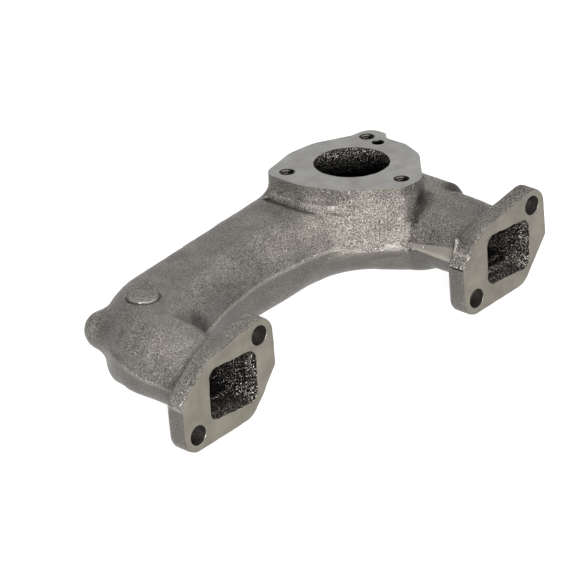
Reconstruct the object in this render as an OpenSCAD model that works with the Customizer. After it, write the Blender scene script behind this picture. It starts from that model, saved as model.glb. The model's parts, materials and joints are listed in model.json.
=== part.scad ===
// Two-port exhaust manifold: one grey-iron casting, drawn as the named regions of that casting.
// X runs along the row of ports, the machined port faces lie on the plane y = 0 and face -Y,
// and +Z runs out of the outlet. The origin is the centre of the left port's two stud holes.
// Neighbouring regions meet face to face on flat planes, and a gas passage runs through them.

/* [Ports] */
// Distance between the centres of the two port flanges
port_spacing = 205; // [195:1:215]
// Width of each port opening at the machined face
port_w = 33; // [28:0.5:34]
// Height of each port opening at the machined face
port_h = 28; // [24:0.5:29]
// Thickness of each port flange
port_flange_t = 11; // [9:0.5:14]
// Circle through the two stud holes of a port flange
stud_pcd = 58.5; // [57:0.5:60]
// Diameter of the port stud holes
stud_hole_d = 10.5; // [8.5:0.5:11]

/* [Runner] */
// Height of the top of the runner above the port axis
runner_top = 22.5; // [21:0.5:23.5]
// Depth of the bottom of the runner below the port axis
runner_bottom = 20.5; // [19:0.5:22]
// Radius of the runner's upper edges
top_r = 15; // [12:0.5:16]
// Radius of the runner's lower edges
bottom_r = 9; // [6:0.5:11]
// Thickness of the cast wall round the gas passage
wall = 5.5; // [4.5:0.5:6.5]

/* [Outlet] */
// Distance of the outlet axis from the left port, along the row of ports
outlet_x = 186; // [184:1:188]
// Distance of the outlet axis behind the port faces
outlet_y = 90; // [89:1:91]
// Height of the machined outlet face above the port axis
outlet_face_z = 33.5; // [32:0.5:36]
// Thickness of the outlet flange
outlet_flange_t = 9.5; // [8:0.5:11]
// Diameter of the outlet bore
outlet_bore_d = 38.5; // [34:0.5:40]
// Circle through the three tapped outlet holes
outlet_pcd = 71.5; // [70:0.5:73]
// Core diameter of the tapped outlet holes
tapped_core_d = 6.8; // [5:0.1:8.5]
// Depth of the tapped outlet holes below the face
tapped_depth = 13; // [10:0.5:14]
// Diameter of the small locating hole in the outlet face
locating_hole_d = 6; // [4:0.5:7]

/* [Small features] */
// Diameter of the round boss that closes the core opening behind the left elbow
core_boss_d = 21; // [17:0.2:22]
// Diameter of the raised pad for the casting date
date_pad_d = 16; // [12:0.5:20]
// Height of the date pad above the elbow
date_pad_h = 1; // [0.6:0.1:1.5]

/* [Hidden] */
$fn = 48;

cast_iron = "dimgray";
machined_iron = "darkgray";

// Thickness of the thin slices that a hull runs between
slice = 0.01;
// How far a cutter runs past the solid that it cuts
over = 1;

// The port sits a little right of and below the middle of its stud holes
port_dx = 3.2;
port_dz = -1.2;
port_corner_r = 5;
// Behind the machined face the opening narrows to the cored passage
passage_w = 31;
passage_h = 25;
passage_corner_r = 9;
passage_dx = port_dx - 0.5;
passage_dz = port_dz - 0.4;
stud_angle = 40;
stud_lobe_r = 9;

// Pipe walls at the back of a port flange, measured from the flange's centre
left_pipe_x = [-19, 24];
right_pipe_x = [-25.6, 24];
pipe_bottom = -17.5;
pipe_top = 16.5;
left_pipe_end_y = 41;
right_pipe_end_y = 45;
right_pipe_end_top = 18;
right_pipe_end_bottom = 1 - runner_bottom;
pipe_top_r = 14;

// The left elbow's inner wall turns about one vertical line and its outer wall about another
inner_axis = [38, left_pipe_end_y];
inner_wall_r = inner_axis[0] - left_pipe_x[1];
outer_axis = [45, left_pipe_end_y];
outer_wall_r = outer_axis[0] - left_pipe_x[0];
// A cube of this size holds all of the elbow
elbow_space = 100;
// Each revolved wall's seam is turned this far, to where the elbow's solid doesn't reach
outer_seam_angle = 250;
inner_seam_angle = 290;
// Width of the ring that stands for everything outside the inner wall
ring_w = 120;
// Number of steps in a rounded edge
edge_steps = 6;

// Runner stations: distance along the row of ports, front wall and back wall
runner_x = [inner_axis[0], 62, 97, 143];
runner_front = [inner_axis[1] + inner_wall_r, 62, 70, 71.2];
runner_back = [104.6, 109.5, 116.3, 125.3];

// Radius of the lower edges of the gas passage
passage_low_r = bottom_r - 2;

// The chamber under the outlet
tower_right_x = 229;
chamber_front = 72;
chamber_r = 39;
column_bottom = 6;
front_wall_bottom = 2 - runner_bottom + bottom_r;
// The part of the outlet outline whose wall goes down that far: all of its front left quarter
front_wall_w = 60;
front_wall_right = 8;
neck_z = outlet_face_z - outlet_flange_t;
downcomer_r = outlet_bore_d / 2 + 1.2;
bore_chamfer = 0.8;
locating_hole_depth = 8;
locating_hole_r = 29.9;
locating_hole_angle = 15.1;
tapped_angles = [-90, 30, 150];

// The bead at the foot of the outlet flange: its width, its top and where it starts and ends
bead_w = 2.5;
bead_top = neck_z + 0.6;
bead_angles = [158, 208];

// Centre of the date pad on the elbow
pad_at = [12.3, 71.2];

// Centre of the boss's dome, and the length of the boss in front of it
core_boss_dome = [0.6, 88.6, 3.5];
core_boss_shank = 14;

function unit(v) = v / norm(v);

// Points of the arc that rounds corner b, between neighbours a and c, in n steps
function corner_arc(a, b, c, r, n) =
    let (
        u = unit([a[0] - b[0], a[1] - b[1]]),
        v = unit([c[0] - b[0], c[1] - b[1]]),
        half = acos(u * v) / 2,
        mid = [b[0], b[1]] + unit(u + v) * r / sin(half),
        start = [b[0], b[1]] + u * r / tan(half) - mid,
        end = [b[0], b[1]] + v * r / tan(half) - mid,
        from = atan2(start[1], start[0]),
        turn = atan2(end[1], end[0]) - from,
        sweep = turn > 180 ? turn - 360 : turn < -180 ? turn + 360 : turn
    )
    [for (i = [0:n]) mid + r * [cos(from + sweep * i / n), sin(from + sweep * i / n)]];

// A closed outline whose corners [x, y, radius] are all rounded
function rounded(corners, n = edge_steps) =
    let (last = len(corners) - 1)
    [for (i = [0:last])
        each corner_arc(corners[i == 0 ? last : i - 1], corners[i], corners[i == last ? 0 : i + 1],
                        corners[i][2], n)];

// A pipe's cross-section, from side a to side b and from the bottom to the top
function section(a, b, bottom, top, low_r, high_r) =
    rounded([[a, bottom, low_r], [b, bottom, low_r], [b, top, high_r], [a, top, high_r]]);

// Outline of a port flange in the plane of its face, seen from in front
flange_outline = rounded([
    [31.8, 29.9, stud_lobe_r], [-12.8, 19, 20], [-32.9, 1.2, 4],
    [-31.2, -29, stud_lobe_r], [15.9, -24.1, 12], [33.4, -0.9, 4]
]);

// Outline of the outlet flange about the outlet axis, with a lobe round each tapped hole
outlet_outline = rounded([
    [-39.9, 26.2, 9], [-39.9, -1, 20], [-31.5, -22.5, 20], [-8.7, -44.9, 9], [6.6, -44.9, 14],
    [31, -20.5, 18], [36.4, -5, 10], [36.2, 8.3, 3], [40.8, 12.8, 3], [40.8, 25.4, 8],
    [27.5, 25.4, 4], [6, 34.4, 20], [-12, 34.6, 20]
], 5);

// A thin slice across the row of ports at depth y, its thickness towards +Y
module slice_at_y(y, outline) {
    translate([0, y + slice, 0]) rotate([90, 0, 0]) linear_extrude(slice) polygon(outline);
}

// A thin slice along the row of ports at x, its thickness towards +X
module slice_at_x(x, outline) {
    translate([x, 0, 0]) rotate([90, 0, 90]) linear_extrude(slice) polygon(outline);
}

module straight_y(y0, y1, outline0, outline1) {
    hull() {
        slice_at_y(y0, outline0);
        slice_at_y(y1 - slice, outline1);
    }
}

module straight_x(x0, x1, outline0, outline1) {
    hull() {
        slice_at_x(x0, outline0);
        slice_at_x(x1 - slice, outline1);
    }
}

// The opening of one port through its flange: the port narrows to the cored passage
module port_opening() {
    hull() {
        slice_at_y(-over, section(port_dx - port_w / 2, port_dx + port_w / 2, port_dz - port_h / 2,
                                  port_dz + port_h / 2, port_corner_r, port_corner_r));
        slice_at_y(port_flange_t + over, passage_outline());
    }
}

function passage_outline(dx = 0) =
    section(dx + passage_dx - passage_w / 2, dx + passage_dx + passage_w / 2,
            passage_dz - passage_h / 2, passage_dz + passage_h / 2, passage_corner_r, passage_corner_r);

// Cored passage of the runner between given outer walls
function cored(a, b, top) =
    section(a + wall, b - wall, wall - runner_bottom, top - wall, passage_low_r, top_r - wall);

module stud_hole() {
    rotate([-90, 0, 0])
        translate([0, 0, -over])
            cylinder(h = port_flange_t + 2 * over, d = stud_hole_d);
}

module port_flange() {
    difference() {
        translate([0, port_flange_t, 0])
            rotate([90, 0, 0]) linear_extrude(port_flange_t) polygon(flange_outline);
        port_opening();
        for (turn = [0, 180])
            translate([cos(stud_angle + turn), 0, sin(stud_angle + turn)] * stud_pcd / 2) stud_hole();
    }
}

module left_port_flange() {
    color(machined_iron) port_flange();
}

module right_port_flange() {
    color(machined_iron) translate([port_spacing, 0, 0]) port_flange();
}

module left_port_pipe() {
    color(cast_iron)
        difference() {
            straight_y(port_flange_t, left_pipe_end_y,
                       section(left_pipe_x[0], left_pipe_x[1], pipe_bottom, pipe_top, bottom_r, pipe_top_r),
                       section(left_pipe_x[0], left_pipe_x[1], -runner_bottom, runner_top,
                               bottom_r, top_r));
            straight_y(port_flange_t - over, left_pipe_end_y + over, passage_outline(),
                       cored(left_pipe_x[0], left_pipe_x[1], runner_top));
        }
}

// A disc with rounded edges: the elbow inside its outer wall
module round_disc(r, bottom, top, low_r, high_r) {
    rotate_extrude()
        polygon(half_section([0, r], bottom, top, low_r, high_r));
}

// A wide ring with rounded inner edges: the elbow outside its inner wall
module round_ring(r, bottom, top, low_r, high_r) {
    rotate_extrude()
        polygon(half_section([r + ring_w, r], bottom, top, low_r, high_r));
}

// Half a section with square corners at radius across[0] and rounded ones at radius across[1]
function half_section(across, bottom, top, low_r, high_r) =
    let (
        foot = [across[0], bottom],
        low = [across[1], bottom],
        high = [across[1], top],
        head = [across[0], top]
    )
    concat([foot], corner_arc(foot, low, high, low_r, edge_steps),
           corner_arc(low, high, head, high_r, edge_steps), [head]);

// The bend between its two walls, set back by inset from them and from the top and bottom
module elbow_bend(inset, low_r, high_r) {
    intersection() {
        translate([outer_axis[0], outer_axis[1], 0])
            rotate([0, 0, outer_seam_angle])
                round_disc(outer_wall_r - inset, inset - runner_bottom, runner_top - inset, low_r, high_r);
        translate([inner_axis[0], inner_axis[1], 0])
            rotate([0, 0, inner_seam_angle])
                round_ring(inner_wall_r + inset, inset - runner_bottom, runner_top - inset, low_r, high_r);
    }
}

module left_elbow() {
    color(cast_iron)
        difference() {
            intersection() {
                elbow_bend(0, bottom_r, top_r);
                translate([inner_axis[0] - elbow_space, inner_axis[1], -elbow_space / 2])
                    cube(elbow_space);
            }
            elbow_bend(wall, passage_low_r, top_r - wall);
        }
}

// The date pad sits on the flat top of the elbow
module date_pad() {
    color(cast_iron)
        translate([pad_at[0], pad_at[1], runner_top])
            cylinder(h = date_pad_h, d = date_pad_d);
}

// The boss closes the rear core opening, in line with the left port, and ends in a dome
module core_boss() {
    color(cast_iron)
        difference() {
            translate(core_boss_dome) {
                sphere(d = core_boss_d);
                rotate([90, 0, 0]) cylinder(h = core_boss_shank, d = core_boss_d);
            }
            elbow_bend(0, bottom_r, top_r);
        }
}

function runner_section(i, cored_too) =
    cored_too ? cored(runner_front[i], runner_back[i], runner_top)
              : section(runner_front[i], runner_back[i], -runner_bottom, runner_top, bottom_r, top_r);

module runner_span(i) {
    difference() {
        straight_x(runner_x[i], runner_x[i + 1], runner_section(i, false), runner_section(i + 1, false));
        straight_x(runner_x[i] - slice, runner_x[i + 1] + slice, runner_section(i, true),
                   runner_section(i + 1, true));
    }
}

module runner_left() {
    color(cast_iron) {
        runner_span(0);
        runner_span(1);
    }
}

module runner_right() {
    color(cast_iron) runner_span(2);
}

// Walls that carry the outlet flange down into the chamber: the whole outline for a little way,
// and the front and left edges all the way to the lower half of the casting
module flange_column() {
    translate([outlet_x, outlet_y, column_bottom])
        linear_extrude(neck_z - column_bottom)
            polygon(outlet_outline);
    translate([outlet_x, outlet_y, front_wall_bottom])
        linear_extrude(neck_z - front_wall_bottom)
            intersection() {
                polygon(outlet_outline);
                translate([-front_wall_w, -front_wall_w])
                    square([front_wall_w + front_wall_right, front_wall_w]);
            }
}

// The chamber runs back from the right pipe and ends in a round corner
module chamber_back() {
    hull() {
        slice_at_y(right_pipe_end_y, section(port_spacing + right_pipe_x[0], tower_right_x,
                                             -runner_bottom, runner_top, bottom_r, top_r));
        translate([tower_right_x - chamber_r, outlet_y, 0])
            round_disc(chamber_r, -runner_bottom, runner_top, bottom_r, top_r, $fn = 32);
    }
}

// From the end of the runner the chamber widens up to the outlet's axis
module chamber_front_part() {
    straight_x(runner_x[3], outlet_x, runner_section(3, false),
               section(chamber_front, outlet_y + chamber_r - 1, -runner_bottom, runner_top, bottom_r, top_r));
}

module chamber_shell() {
    chamber_front_part();
    chamber_back();
    flange_column();
}

module chamber_passage() {
    straight_x(runner_x[3] - over, outlet_x, runner_section(3, true),
               cored(chamber_front, outlet_y + chamber_r, runner_top));
    straight_y(right_pipe_end_y - over, outlet_y + chamber_r - 2 * wall, passage_end(),
               cored(port_spacing + right_pipe_x[0], tower_right_x - 2 * wall, runner_top));
    translate([outlet_x, outlet_y, 0]) cylinder(h = outlet_face_z, r = downcomer_r);
}

module outlet_tower() {
    color(cast_iron)
        difference() {
            chamber_shell();
            chamber_passage();
            tapped_holes();
        }
}

function passage_end() =
    section(port_spacing + right_pipe_x[0] + wall, tower_right_x - wall,
            right_pipe_end_bottom + wall, right_pipe_end_top - wall, passage_low_r, top_r - wall);

// A blind hole of diameter d in the outlet face, at angle a on the circle of radius r
module outlet_hole(a, r, d, depth) {
    translate([outlet_x + cos(a) * r, outlet_y + sin(a) * r, outlet_face_z - depth])
        cylinder(h = depth + over, d = d);
}

module tapped_holes() {
    for (a = tapped_angles)
        outlet_hole(a, outlet_pcd / 2, tapped_core_d, tapped_depth);
}

module outlet_flange() {
    color(machined_iron)
        difference() {
            translate([outlet_x, outlet_y, neck_z]) linear_extrude(outlet_flange_t) polygon(outlet_outline);
            translate([outlet_x, outlet_y, neck_z - over])
                cylinder(h = outlet_flange_t + 2 * over, d = outlet_bore_d);
            translate([outlet_x, outlet_y, outlet_face_z - bore_chamfer])
                cylinder(h = bore_chamfer + slice, d1 = outlet_bore_d, d2 = outlet_bore_d + 2 * bore_chamfer);
            tapped_holes();
            outlet_hole(locating_hole_angle, locating_hole_r, locating_hole_d, locating_hole_depth);
        }
}

// A low cast bead on the runner, along the foot of the outlet flange's left side
module outlet_bead() {
    color(cast_iron)
        difference() {
            translate([outlet_x, outlet_y, column_bottom])
                linear_extrude(bead_top - column_bottom)
                    difference() {
                        intersection() {
                            offset(r = bead_w) polygon(outlet_outline);
                            polygon([[0, 0], for (a = bead_angles) 2 * chamber_r * [cos(a), sin(a)]]);
                        }
                        polygon(outlet_outline);
                    }
            straight_x(runner_x[2], runner_x[3], runner_section(2, false), runner_section(3, false));
            chamber_front_part();
        }
}

module right_port_pipe() {
    color(cast_iron)
        difference() {
            straight_y(port_flange_t, right_pipe_end_y,
                       section(port_spacing + right_pipe_x[0], port_spacing + right_pipe_x[1],
                               pipe_bottom, pipe_top, bottom_r, pipe_top_r),
                       section(port_spacing + right_pipe_x[0], tower_right_x,
                               right_pipe_end_bottom, right_pipe_end_top, bottom_r, top_r));
            straight_y(port_flange_t - over, right_pipe_end_y + over, passage_outline(port_spacing),
                       passage_end());
        }
}

left_port_flange();
left_port_pipe();
left_elbow();
core_boss();
date_pad();
runner_left();
runner_right();
outlet_tower();
outlet_flange();
outlet_bead();
right_port_pipe();
right_port_flange();
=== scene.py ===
"""Looks of the two-port exhaust manifold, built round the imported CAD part.

The casting is described once, as a distance field in millimetres in the CAD frame: negative in the
iron, positive outside. Its surface is meshed, cut into the regions that the CAD names, and the
machined faces, drilled holes and threads are cut into those pieces.
"""

import json
import math

import bmesh
import bpy
import numpy as np
from mathutils import Matrix, Vector


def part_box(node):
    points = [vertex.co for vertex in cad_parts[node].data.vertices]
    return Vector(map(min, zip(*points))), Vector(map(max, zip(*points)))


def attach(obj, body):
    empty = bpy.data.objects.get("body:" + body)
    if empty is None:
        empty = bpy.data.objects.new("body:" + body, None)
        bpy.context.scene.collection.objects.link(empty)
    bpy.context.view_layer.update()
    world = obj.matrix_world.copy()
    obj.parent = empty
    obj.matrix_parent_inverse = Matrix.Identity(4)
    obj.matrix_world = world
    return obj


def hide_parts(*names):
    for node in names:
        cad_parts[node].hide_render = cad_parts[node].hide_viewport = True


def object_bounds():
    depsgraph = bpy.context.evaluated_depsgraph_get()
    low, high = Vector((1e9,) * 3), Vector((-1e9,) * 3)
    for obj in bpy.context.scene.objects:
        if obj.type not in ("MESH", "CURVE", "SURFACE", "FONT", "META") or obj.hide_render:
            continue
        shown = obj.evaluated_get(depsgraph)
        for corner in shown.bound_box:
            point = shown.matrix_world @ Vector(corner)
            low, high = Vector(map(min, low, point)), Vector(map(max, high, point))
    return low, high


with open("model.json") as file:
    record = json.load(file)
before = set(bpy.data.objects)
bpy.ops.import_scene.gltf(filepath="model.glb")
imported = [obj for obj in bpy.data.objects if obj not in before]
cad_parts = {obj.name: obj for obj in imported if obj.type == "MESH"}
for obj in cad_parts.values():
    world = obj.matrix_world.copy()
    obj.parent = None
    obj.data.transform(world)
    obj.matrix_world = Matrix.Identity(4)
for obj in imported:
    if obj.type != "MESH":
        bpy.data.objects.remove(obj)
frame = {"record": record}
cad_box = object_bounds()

MM = 0.001
RANDOM_SEED = 7


# -------------------- dimensions, in millimetres

def box_mm(node):
    """Lowest and highest corner of a CAD node."""
    low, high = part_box(node)
    return np.array(low) / MM, np.array(high) / MM


def mount_mm(name):
    """Position of a mount, and its dimensions."""
    found = next(m for m in frame["record"]["mounts"] if m["name"] == name)
    return np.array(found["pos_m"]) / MM, found["dims"]


FLANGE_T = box_mm("left_port_flange")[1][1]
LEFT_PIPE_END = box_mm("left_port_pipe")[1][1]
RIGHT_PIPE_END = box_mm("right_port_pipe")[1][1]
ELBOW_END = box_mm("left_elbow")[1][0]
RUNNER_SPLIT = box_mm("runner_left")[1][0]
RUNNER_END = box_mm("runner_right")[1][0]
# Halfway along the runner, between the left and the right port
MIDDLE = (ELBOW_END + RUNNER_END) / 2
NECK_Z = box_mm("outlet_flange")[0][2]
FACE_Z = box_mm("outlet_flange")[1][2]
RUNNER_TOP = box_mm("runner_left")[1][2]
RUNNER_BOTTOM = box_mm("runner_left")[0][2]
# The floor lies just under the lowest points of the port flanges
FLOOR_Z = box_mm("left_port_flange")[0][2] - 0.5
LEFT_PORT, STUDS = mount_mm("left_port_studs")
RIGHT_PORT = mount_mm("right_port_studs")[0]
OUTLET, OUTLET_STUDS = mount_mm("outlet_studs")
OUTLET_BORE_R = mount_mm("outlet_bore")[1]["r_mm"]
LOCATING_HOLE, LOCATING_DIMS = mount_mm("outlet_locating_hole")

# The line through a port's stud holes rises at this angle; the tapped holes lie at these
STUD_ANGLE = 40
TAPPED_ANGLES = (-90, 30, 150)
TAPPED_DEPTH = 13
THREAD_PITCH = 1.25
THREAD_DEPTH = 0.65
CHAMFER = 0.1
LOCATING_CHAMFER = 0.5

# The plan of the pipes, elbow, runner and chamber as one outline of corners (x, y, radius)
PLAN = (
    (-19, -5, 0), (-19, 93.6, 61), (160, 128.0, 80), (229, 128.2, 39), (229, -5, 0), (179.4, -5, 0),
    (179.4, 45.5, 10), (164, 65, 20), (143, 71.8, 60), (96, 70.8, 70), (62, 62, 80),
    (24, 48.4, 12.5), (24, -5, 0),
)
# A port flange in the plane of its face, about the centre of its stud holes
PORT_FLANGE = (
    (31.6, 29.7, 9), (-12.8, 18.9, 20), (-32.7, 1.2, 3.5), (-31.0, -28.8, 9), (15.7, -23.9, 12),
    (33.2, -0.9, 4),
)
# The outlet flange about the outlet axis
OUTLET_FLANGE = (
    (-39.9, 26.2, 9), (-39.9, -1, 20), (-31.5, -22.5, 20), (-8.7, -44.9, 9), (6.6, -44.9, 14),
    (31, -20.5, 18), (36.4, -5, 10), (36.2, 8.3, 3), (40.8, 12.8, 3), (40.8, 25.4, 8),
    (27.5, 25.4, 4), (6, 34.4, 20), (-12, 34.6, 20),
)

# Heights of the tops and bottoms, and the radii of the edges between them and the sides
PIPE_TOP = 16.5
PIPE_BOTTOM = -17.5
ELBOW_BOTTOM = -16.6
RIGHT_PIPE_BOTTOM = -15.2
RIGHT_PIPE_TOP = 18.0
TOP_R = 15.0
BOTTOM_R = 9.0
# Thickness of the walls, and the least that the fitting of the skin may leave
WALL = 5.5
MIN_WALL = 3.5
# Height of the parting line
PARTING_Z = 1.3
# The parting line falls this far from the elbow to the left port flange
PARTING_DROP = 3.6
PARTING_DROP_Y = (44, 64)
# The lower half is this much wider, the sides lean by the draft, and flash stands out along the line
PARTING_STEP = 0.55
DRAFT = 0.02
FLASH_H = 0.35
FLASH_W = 1.2
# How far the edge of a port's machined face is rounded off
EDGE_BREAK = 0.45

# The port opening about the centre of its stud holes, and the passage that it narrows to
PORT_CENTRE = (3.2, -1.2)
PORT_SIZE = (33.0, 28.0)
PASSAGE_SIZE = (31.0, 25.0)

# Sizes of the fillets between the parts of the casting
COLUMN_FILLET = 2.5
CHAMBER_FILLET = 6.5
BOSS_FILLET = 5
FLANGE_FILLET = 2.8
FIN_FILLET = 0.6
# The column under the outlet flange ends inside the chamber, at this height
COLUMN_BOTTOM = -6
# The parting line was dressed off between these two stretches of x
DRESSED_FROM = (146, 156)
DRESSED_TO = (176, 180)
# In the dressed stretch, the edge of the granular skin is ragged
RAGGED_X = (150, 157)

# The bead beside the outlet flange, with a groove along it
BEAD_W = 2.6
BEAD_TOP = NECK_Z + 0.5
BEAD_SLOPE = 0.3
BEAD_Y = (66.0, 112.0)
GROOVE_R = 3.2
GROOVE_LIFT = 1.4

# The boss behind the elbow: a dome on a shank, and the plane that parts it from the elbow
BOSS_DOME = np.array([0.6, 88.6, 3.5])
BOSS_R = 10.3
BOSS_SHANK = 14.0
BOSS_CUT_NORMAL = np.array([-0.7, 0.714, 0.0])
BOSS_CUT_POINT = np.array([-1.8, 85.9, 0.0])

DATE_PAD_LOW, DATE_PAD_HIGH = box_mm("date_pad")
DATE_PAD_R = (DATE_PAD_HIGH[0] - DATE_PAD_LOW[0]) / 2
# The pad's top and hidden foot from its base, and its ring of dots
PAD_TOP = 0.85
PAD_SUNK = 0.3
PAD_EDGE_W = 0.7
PAD_DOTS = 10
PAD_DOT_RING_R = 5.2
# A fin of flash where the right pipe meets its flange
FIN = np.array([[182.0, 13.0, 11.2], [180.6, 11.6, 8.4], [178.0, 11.0, 5.2]])
FIN_R = 0.9
# The faint round print on top of the runner: centre and radius
PRINT_CENTRE = (112.2, 92.2)
PRINT_R = 7.2
# Painted shade on the skin, each round a line from one point to another: (start, end, radius)
SHADE_SPOTS = (
    # painted shade in the pocket behind the left pipe and in the wedge beside the tower
    ((27.5, 49, 8), (33, 51.5, 3), 9.0),
    ((200, 51, 24), (192, 46, 22), 7.0),
    ((190, 45, 20), (184, 44, 13), 5.0),
    # painted shade in the notch between the chamber's shoulder and the right pipe
    ((217, 47.5, 20), (224, 47, 18), 6.0),
)


# -------------------- distance-field helpers

def rounded(corners, steps=12):
    """A closed outline as an array of points, with every corner (x, y, radius) rounded."""
    points = []
    count = len(corners)
    for i, (x, y, r) in enumerate(corners):
        here = np.array([x, y], float)
        if r == 0:
            points.append(here)
            continue
        before = np.array(corners[i - 1][:2], float) - here
        after = np.array(corners[(i + 1) % count][:2], float) - here
        before /= np.linalg.norm(before)
        after /= np.linalg.norm(after)
        half = math.acos(before @ after) / 2
        middle = before + after
        centre = here + middle / np.linalg.norm(middle) * r / math.sin(half)
        start = here + before * r / math.tan(half) - centre
        end = here + after * r / math.tan(half) - centre
        first = math.atan2(start[1], start[0])
        turn = (math.atan2(end[1], end[0]) - first + math.pi) % (2 * math.pi) - math.pi
        for t in np.linspace(0, 1, steps + 1):
            angle = first + turn * t
            points.append(centre + r * np.array([math.cos(angle), math.sin(angle)]))
    return np.array(points)


def outline_distance(points, x, y):
    """Signed distance from (x, y) to a closed outline, negative inside."""
    x, y = np.broadcast_arrays(x, y)
    nearest = np.full(x.shape, 1e9)
    inside = np.zeros(x.shape, bool)
    for (ax, ay), (bx, by) in zip(points, np.roll(points, -1, axis=0)):
        ex, ey = bx - ax, by - ay
        length2 = ex * ex + ey * ey
        if length2 < 1e-9:
            continue
        t = np.clip(((x - ax) * ex + (y - ay) * ey) / length2, 0, 1)
        nearest = np.minimum(nearest, np.hypot(x - ax - ex * t, y - ay - ey * t))
        if ey != 0:
            crosses = (ay > y) != (by > y)
            inside ^= crosses & (x < ax + (y - ay) * ex / ey)
    return np.where(inside, -nearest, nearest)


def ramp(value, start, end):
    """0 before start, 1 after end, and a smooth change in between."""
    t = np.clip((value - start) / (end - start), 0, 1)
    return t * t * (3 - 2 * t)


def rounded_both(a, b, r):
    """The distance to what is inside both a and b, with the edge between them rounded."""
    return np.hypot(np.maximum(a + r, 0), np.maximum(b + r, 0)) + np.minimum(np.maximum(a, b) + r, 0) - r


def either(a, b, blend):
    """The distance to what is inside a or b, with a fillet about as large as blend."""
    h = np.maximum(blend - np.abs(a - b), 0) / blend
    return np.minimum(a, b) - h * h * blend / 4


def without(a, b, blend):
    """The distance to what is inside a and outside b."""
    return -either(-a, b, blend)


def lattice_noise(shape, cell, rng):
    """Smooth noise of about -1 to 1 on a grid, with a new random value every cell grid steps."""
    values = rng.standard_normal([int(n / cell) + 3 for n in shape]).astype(np.float32)
    for axis, n in enumerate(shape):
        at = np.arange(n) / cell
        whole = at.astype(int)
        t = (at - whole).astype(np.float32)
        t = (t * t * (3 - 2 * t)).reshape([-1 if a == axis else 1 for a in range(3)])
        values = np.take(values, whole, axis=axis) * (1 - t) + np.take(values, whole + 1, axis=axis) * t
    return values


# -------------------- the casting

GRID_STEP = 1.0
GRID_LOW = np.array([-36.0, -5.0, -31.0])
GRID_HIGH = np.array([241.0, 133.0, 38.0])
GRID_SHAPE = tuple(int(n) for n in (GRID_HIGH - GRID_LOW) / GRID_STEP + 1)


def grid_axis(axis):
    """Coordinates of the grid along one axis, shaped to broadcast against the other two."""
    shape = [1, 1, 1]
    shape[axis] = -1
    return (GRID_LOW[axis] + GRID_STEP * np.arange(GRID_SHAPE[axis])).reshape(shape)


def port_prism(x, y, z, centre_x, back):
    """A port flange's outline, from in front of its face to a rounded back edge."""
    outline = outline_distance(rounded(PORT_FLANGE), x - centre_x, z)
    return rounded_both(outline + EDGE_BREAK * np.clip(1 - y, 0, 1), y - back, 1.2)


def port_opening(x, y, z, centre_x):
    """The port's opening, which narrows to the cored passage."""
    depth = np.clip(y / FLANGE_T, 0, 1)
    half_w = (PORT_SIZE[0] + (PASSAGE_SIZE[0] - PORT_SIZE[0]) * depth) / 2
    half_h = (PORT_SIZE[1] + (PASSAGE_SIZE[1] - PORT_SIZE[1]) * depth) / 2
    radius = 5 + 4 * depth
    opening = rounded_both(np.abs(x - centre_x - PORT_CENTRE[0]) - half_w,
                           np.abs(z - PORT_CENTRE[1]) - half_h, radius)
    return np.maximum(opening, y - FLANGE_T - 3)


def pipe_heights(x, y):
    """Height of the top and the bottom of the pipes and the runner."""
    grown = ramp(y, FLANGE_T, 46)
    left = PIPE_TOP + (RUNNER_TOP - PIPE_TOP) * grown
    shoulder = ramp(y, 26, 70)
    shoulder = shoulder + (ramp(y, 45, 50) - shoulder) * ramp(x, 212, 221)
    right = (PIPE_TOP + (RIGHT_PIPE_TOP - PIPE_TOP) * ramp(y, FLANGE_T, 42)
             + (RUNNER_TOP - RIGHT_PIPE_TOP) * shoulder)
    on_left = x < MIDDLE
    left_bottom = PIPE_BOTTOM + (ELBOW_BOTTOM - PIPE_BOTTOM) * ramp(y, 40, 60)
    left_bottom = left_bottom + (RUNNER_BOTTOM - left_bottom) * ramp(y + 2 * np.maximum(x, 0), 78, 104)
    right_bottom = RIGHT_PIPE_BOTTOM + (RUNNER_BOTTOM - RIGHT_PIPE_BOTTOM) * ramp(y, 32, 50)
    return np.where(on_left, left, right), np.where(on_left, left_bottom, right_bottom)


def lower_radius(x, y):
    """Radius of the lower edges: larger under the left pipe's outer side and under the chamber."""
    outer_side = 4.5 - 4 * ramp(y, 40, 58) - 4 * ramp(y, 60, 72)
    return BOTTOM_R + 9 * ramp(x, 95, 160) + (1 - ramp(x, 5, 30)) * outer_side


def upper_radius(x, y):
    """Radius of the upper edges: larger on the inner side of the left pipe."""
    along_x = ramp(x, 0, 12) * (1 - ramp(x, 40, 60))
    along_y = ramp(y, 14, 24) * (1 - ramp(y, 44, 54))
    return TOP_R + 10 * along_x * along_y


def parting_height(x, y):
    """Height of the parting line."""
    return PARTING_Z - PARTING_DROP * (1 - ramp(y, *PARTING_DROP_Y)) * (x < MIDDLE)


def line_distance(place, start, end):
    """Distance from a place (x, y, z) to the line from start to end."""
    along = [b - a for a, b in zip(start, end)]
    away = [p - a for p, a in zip(place, start)]
    t = sum(d * v for d, v in zip(along, away)) / sum(d * d for d in along)
    t = np.clip(t, 0, 1)
    return np.sqrt(sum((v - d * t) ** 2 for d, v in zip(along, away)))


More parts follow.
